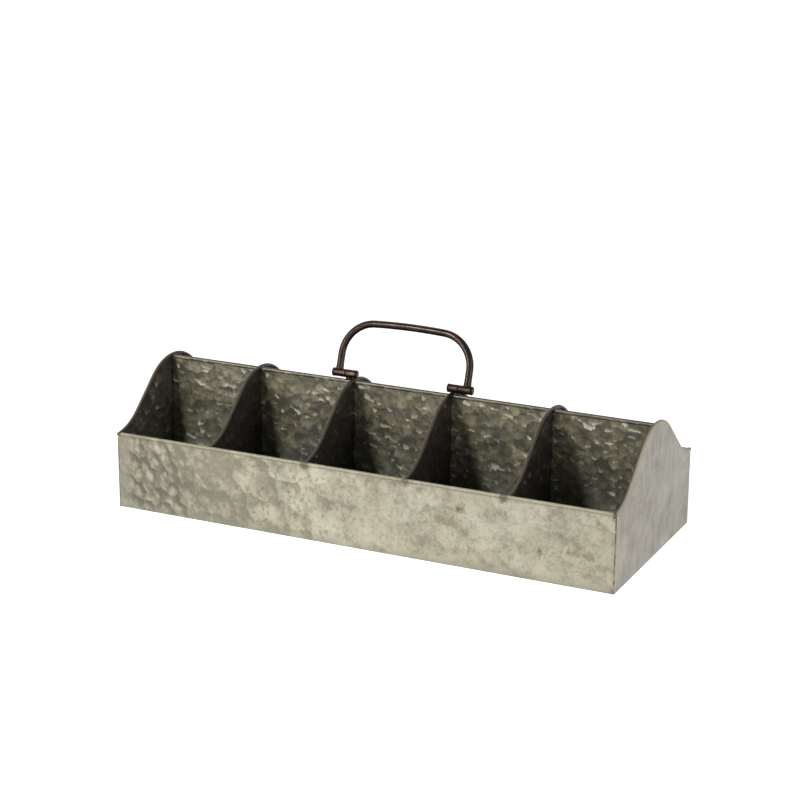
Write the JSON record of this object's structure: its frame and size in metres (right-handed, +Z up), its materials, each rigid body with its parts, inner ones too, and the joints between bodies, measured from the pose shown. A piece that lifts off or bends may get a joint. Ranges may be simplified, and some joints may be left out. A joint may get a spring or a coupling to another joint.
{
  "type": "bottle caddy",
  "caption": "Long open sheet-metal caddy with two rows of bottle compartments, ogee cross dividers, a centre partition and a folding bail handle.",
  "frame": {"origin": "on the resting plane, under the middle of the tray", "axes": "+X along the length to the right, +Y to the back, +Z up"},
  "size_m": [0.508, 0.2032, 0.1852],
  "materials": {
    "galvanised_outside": "acid-washed spangled zinc, dull beige grey",
    "galvanised_end": "acid-washed zinc, fine grained grey",
    "galvanised_inside": "dark aged zinc with dimpled spangles",
    "rim_wire": "drawn wire, dull",
    "solder": "dull brown-grey solder",
    "bronzed_steel": "antique copper-bronze lacquer, worn to light edges"
  },
  "bodies": {
    "tray": {"floor_pan": "galvanised_inside", "front_wall": "galvanised_outside", "back_wall": "galvanised_outside", "left_end_panel": "galvanised_end", "right_end_panel": "galvanised_end", "centre_partition": "galvanised_inside", "divider_1": "galvanised_inside", "divider_2": "galvanised_inside", "divider_3": "galvanised_inside", "divider_4": "galvanised_inside", "front_rim_wire": "rim_wire", "back_rim_wire": "rim_wire", "left_end_rim_wire": "rim_wire", "right_end_rim_wire": "rim_wire", "partition_rim_wires": "rim_wire", "divider_rim_wire_1": "rim_wire", "divider_rim_wire_2": "rim_wire", "divider_rim_wire_3": "rim_wire", "divider_rim_wire_4": "rim_wire", "corner_solder_caps": "solder", "left_hinge_sleeve": "bronzed_steel", "right_hinge_sleeve": "bronzed_steel", "left_hinge_pin": "bronzed_steel", "right_hinge_pin": "bronzed_steel"},
    "bail": {"bail_handle": "bronzed_steel", "left_knuckle": "bronzed_steel", "right_knuckle": "bronzed_steel"}
  },
  "joints": [
    {"name": "bail_swing", "type": "hinge", "parent": "tray", "child": "bail", "pos_m": [0, 0, 0.13325], "axis": [1, 0, 0], "range_deg": [-93, 130]}
  ]
}
